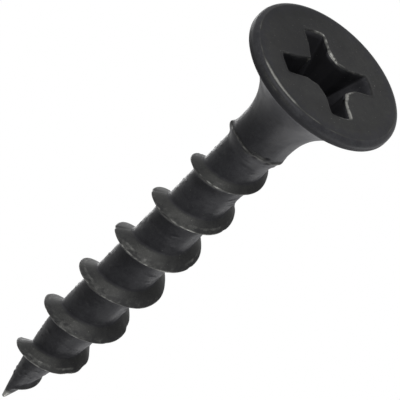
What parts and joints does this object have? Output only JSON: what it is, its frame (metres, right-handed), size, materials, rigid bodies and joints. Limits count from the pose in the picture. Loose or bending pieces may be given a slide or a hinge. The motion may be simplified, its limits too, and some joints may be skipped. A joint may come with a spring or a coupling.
{
  "type": "drywall screw",
  "caption": "Black phosphated drywall screw with a flat bugle head, a cross recess, a coarse right-hand thread and a tapered gimlet point.",
  "frame": {"origin": "centre of the head's flat face, which is also the middle of the base that the screw stands on", "axes": "+Z along the screw's axis from the head to the point; the four wings of the recess lie along X and Y"},
  "size_m": [0.0082, 0.0082, 0.0254],
  "materials": {
    "black_phosphate": "fine-grained matt black phosphate on hardened carbon steel, rubbed a little brighter on the rim and the thread's crest"
  },
  "bodies": {
    "root": {"drywall_screw": "black_phosphate"}
  },
  "joints": []
}
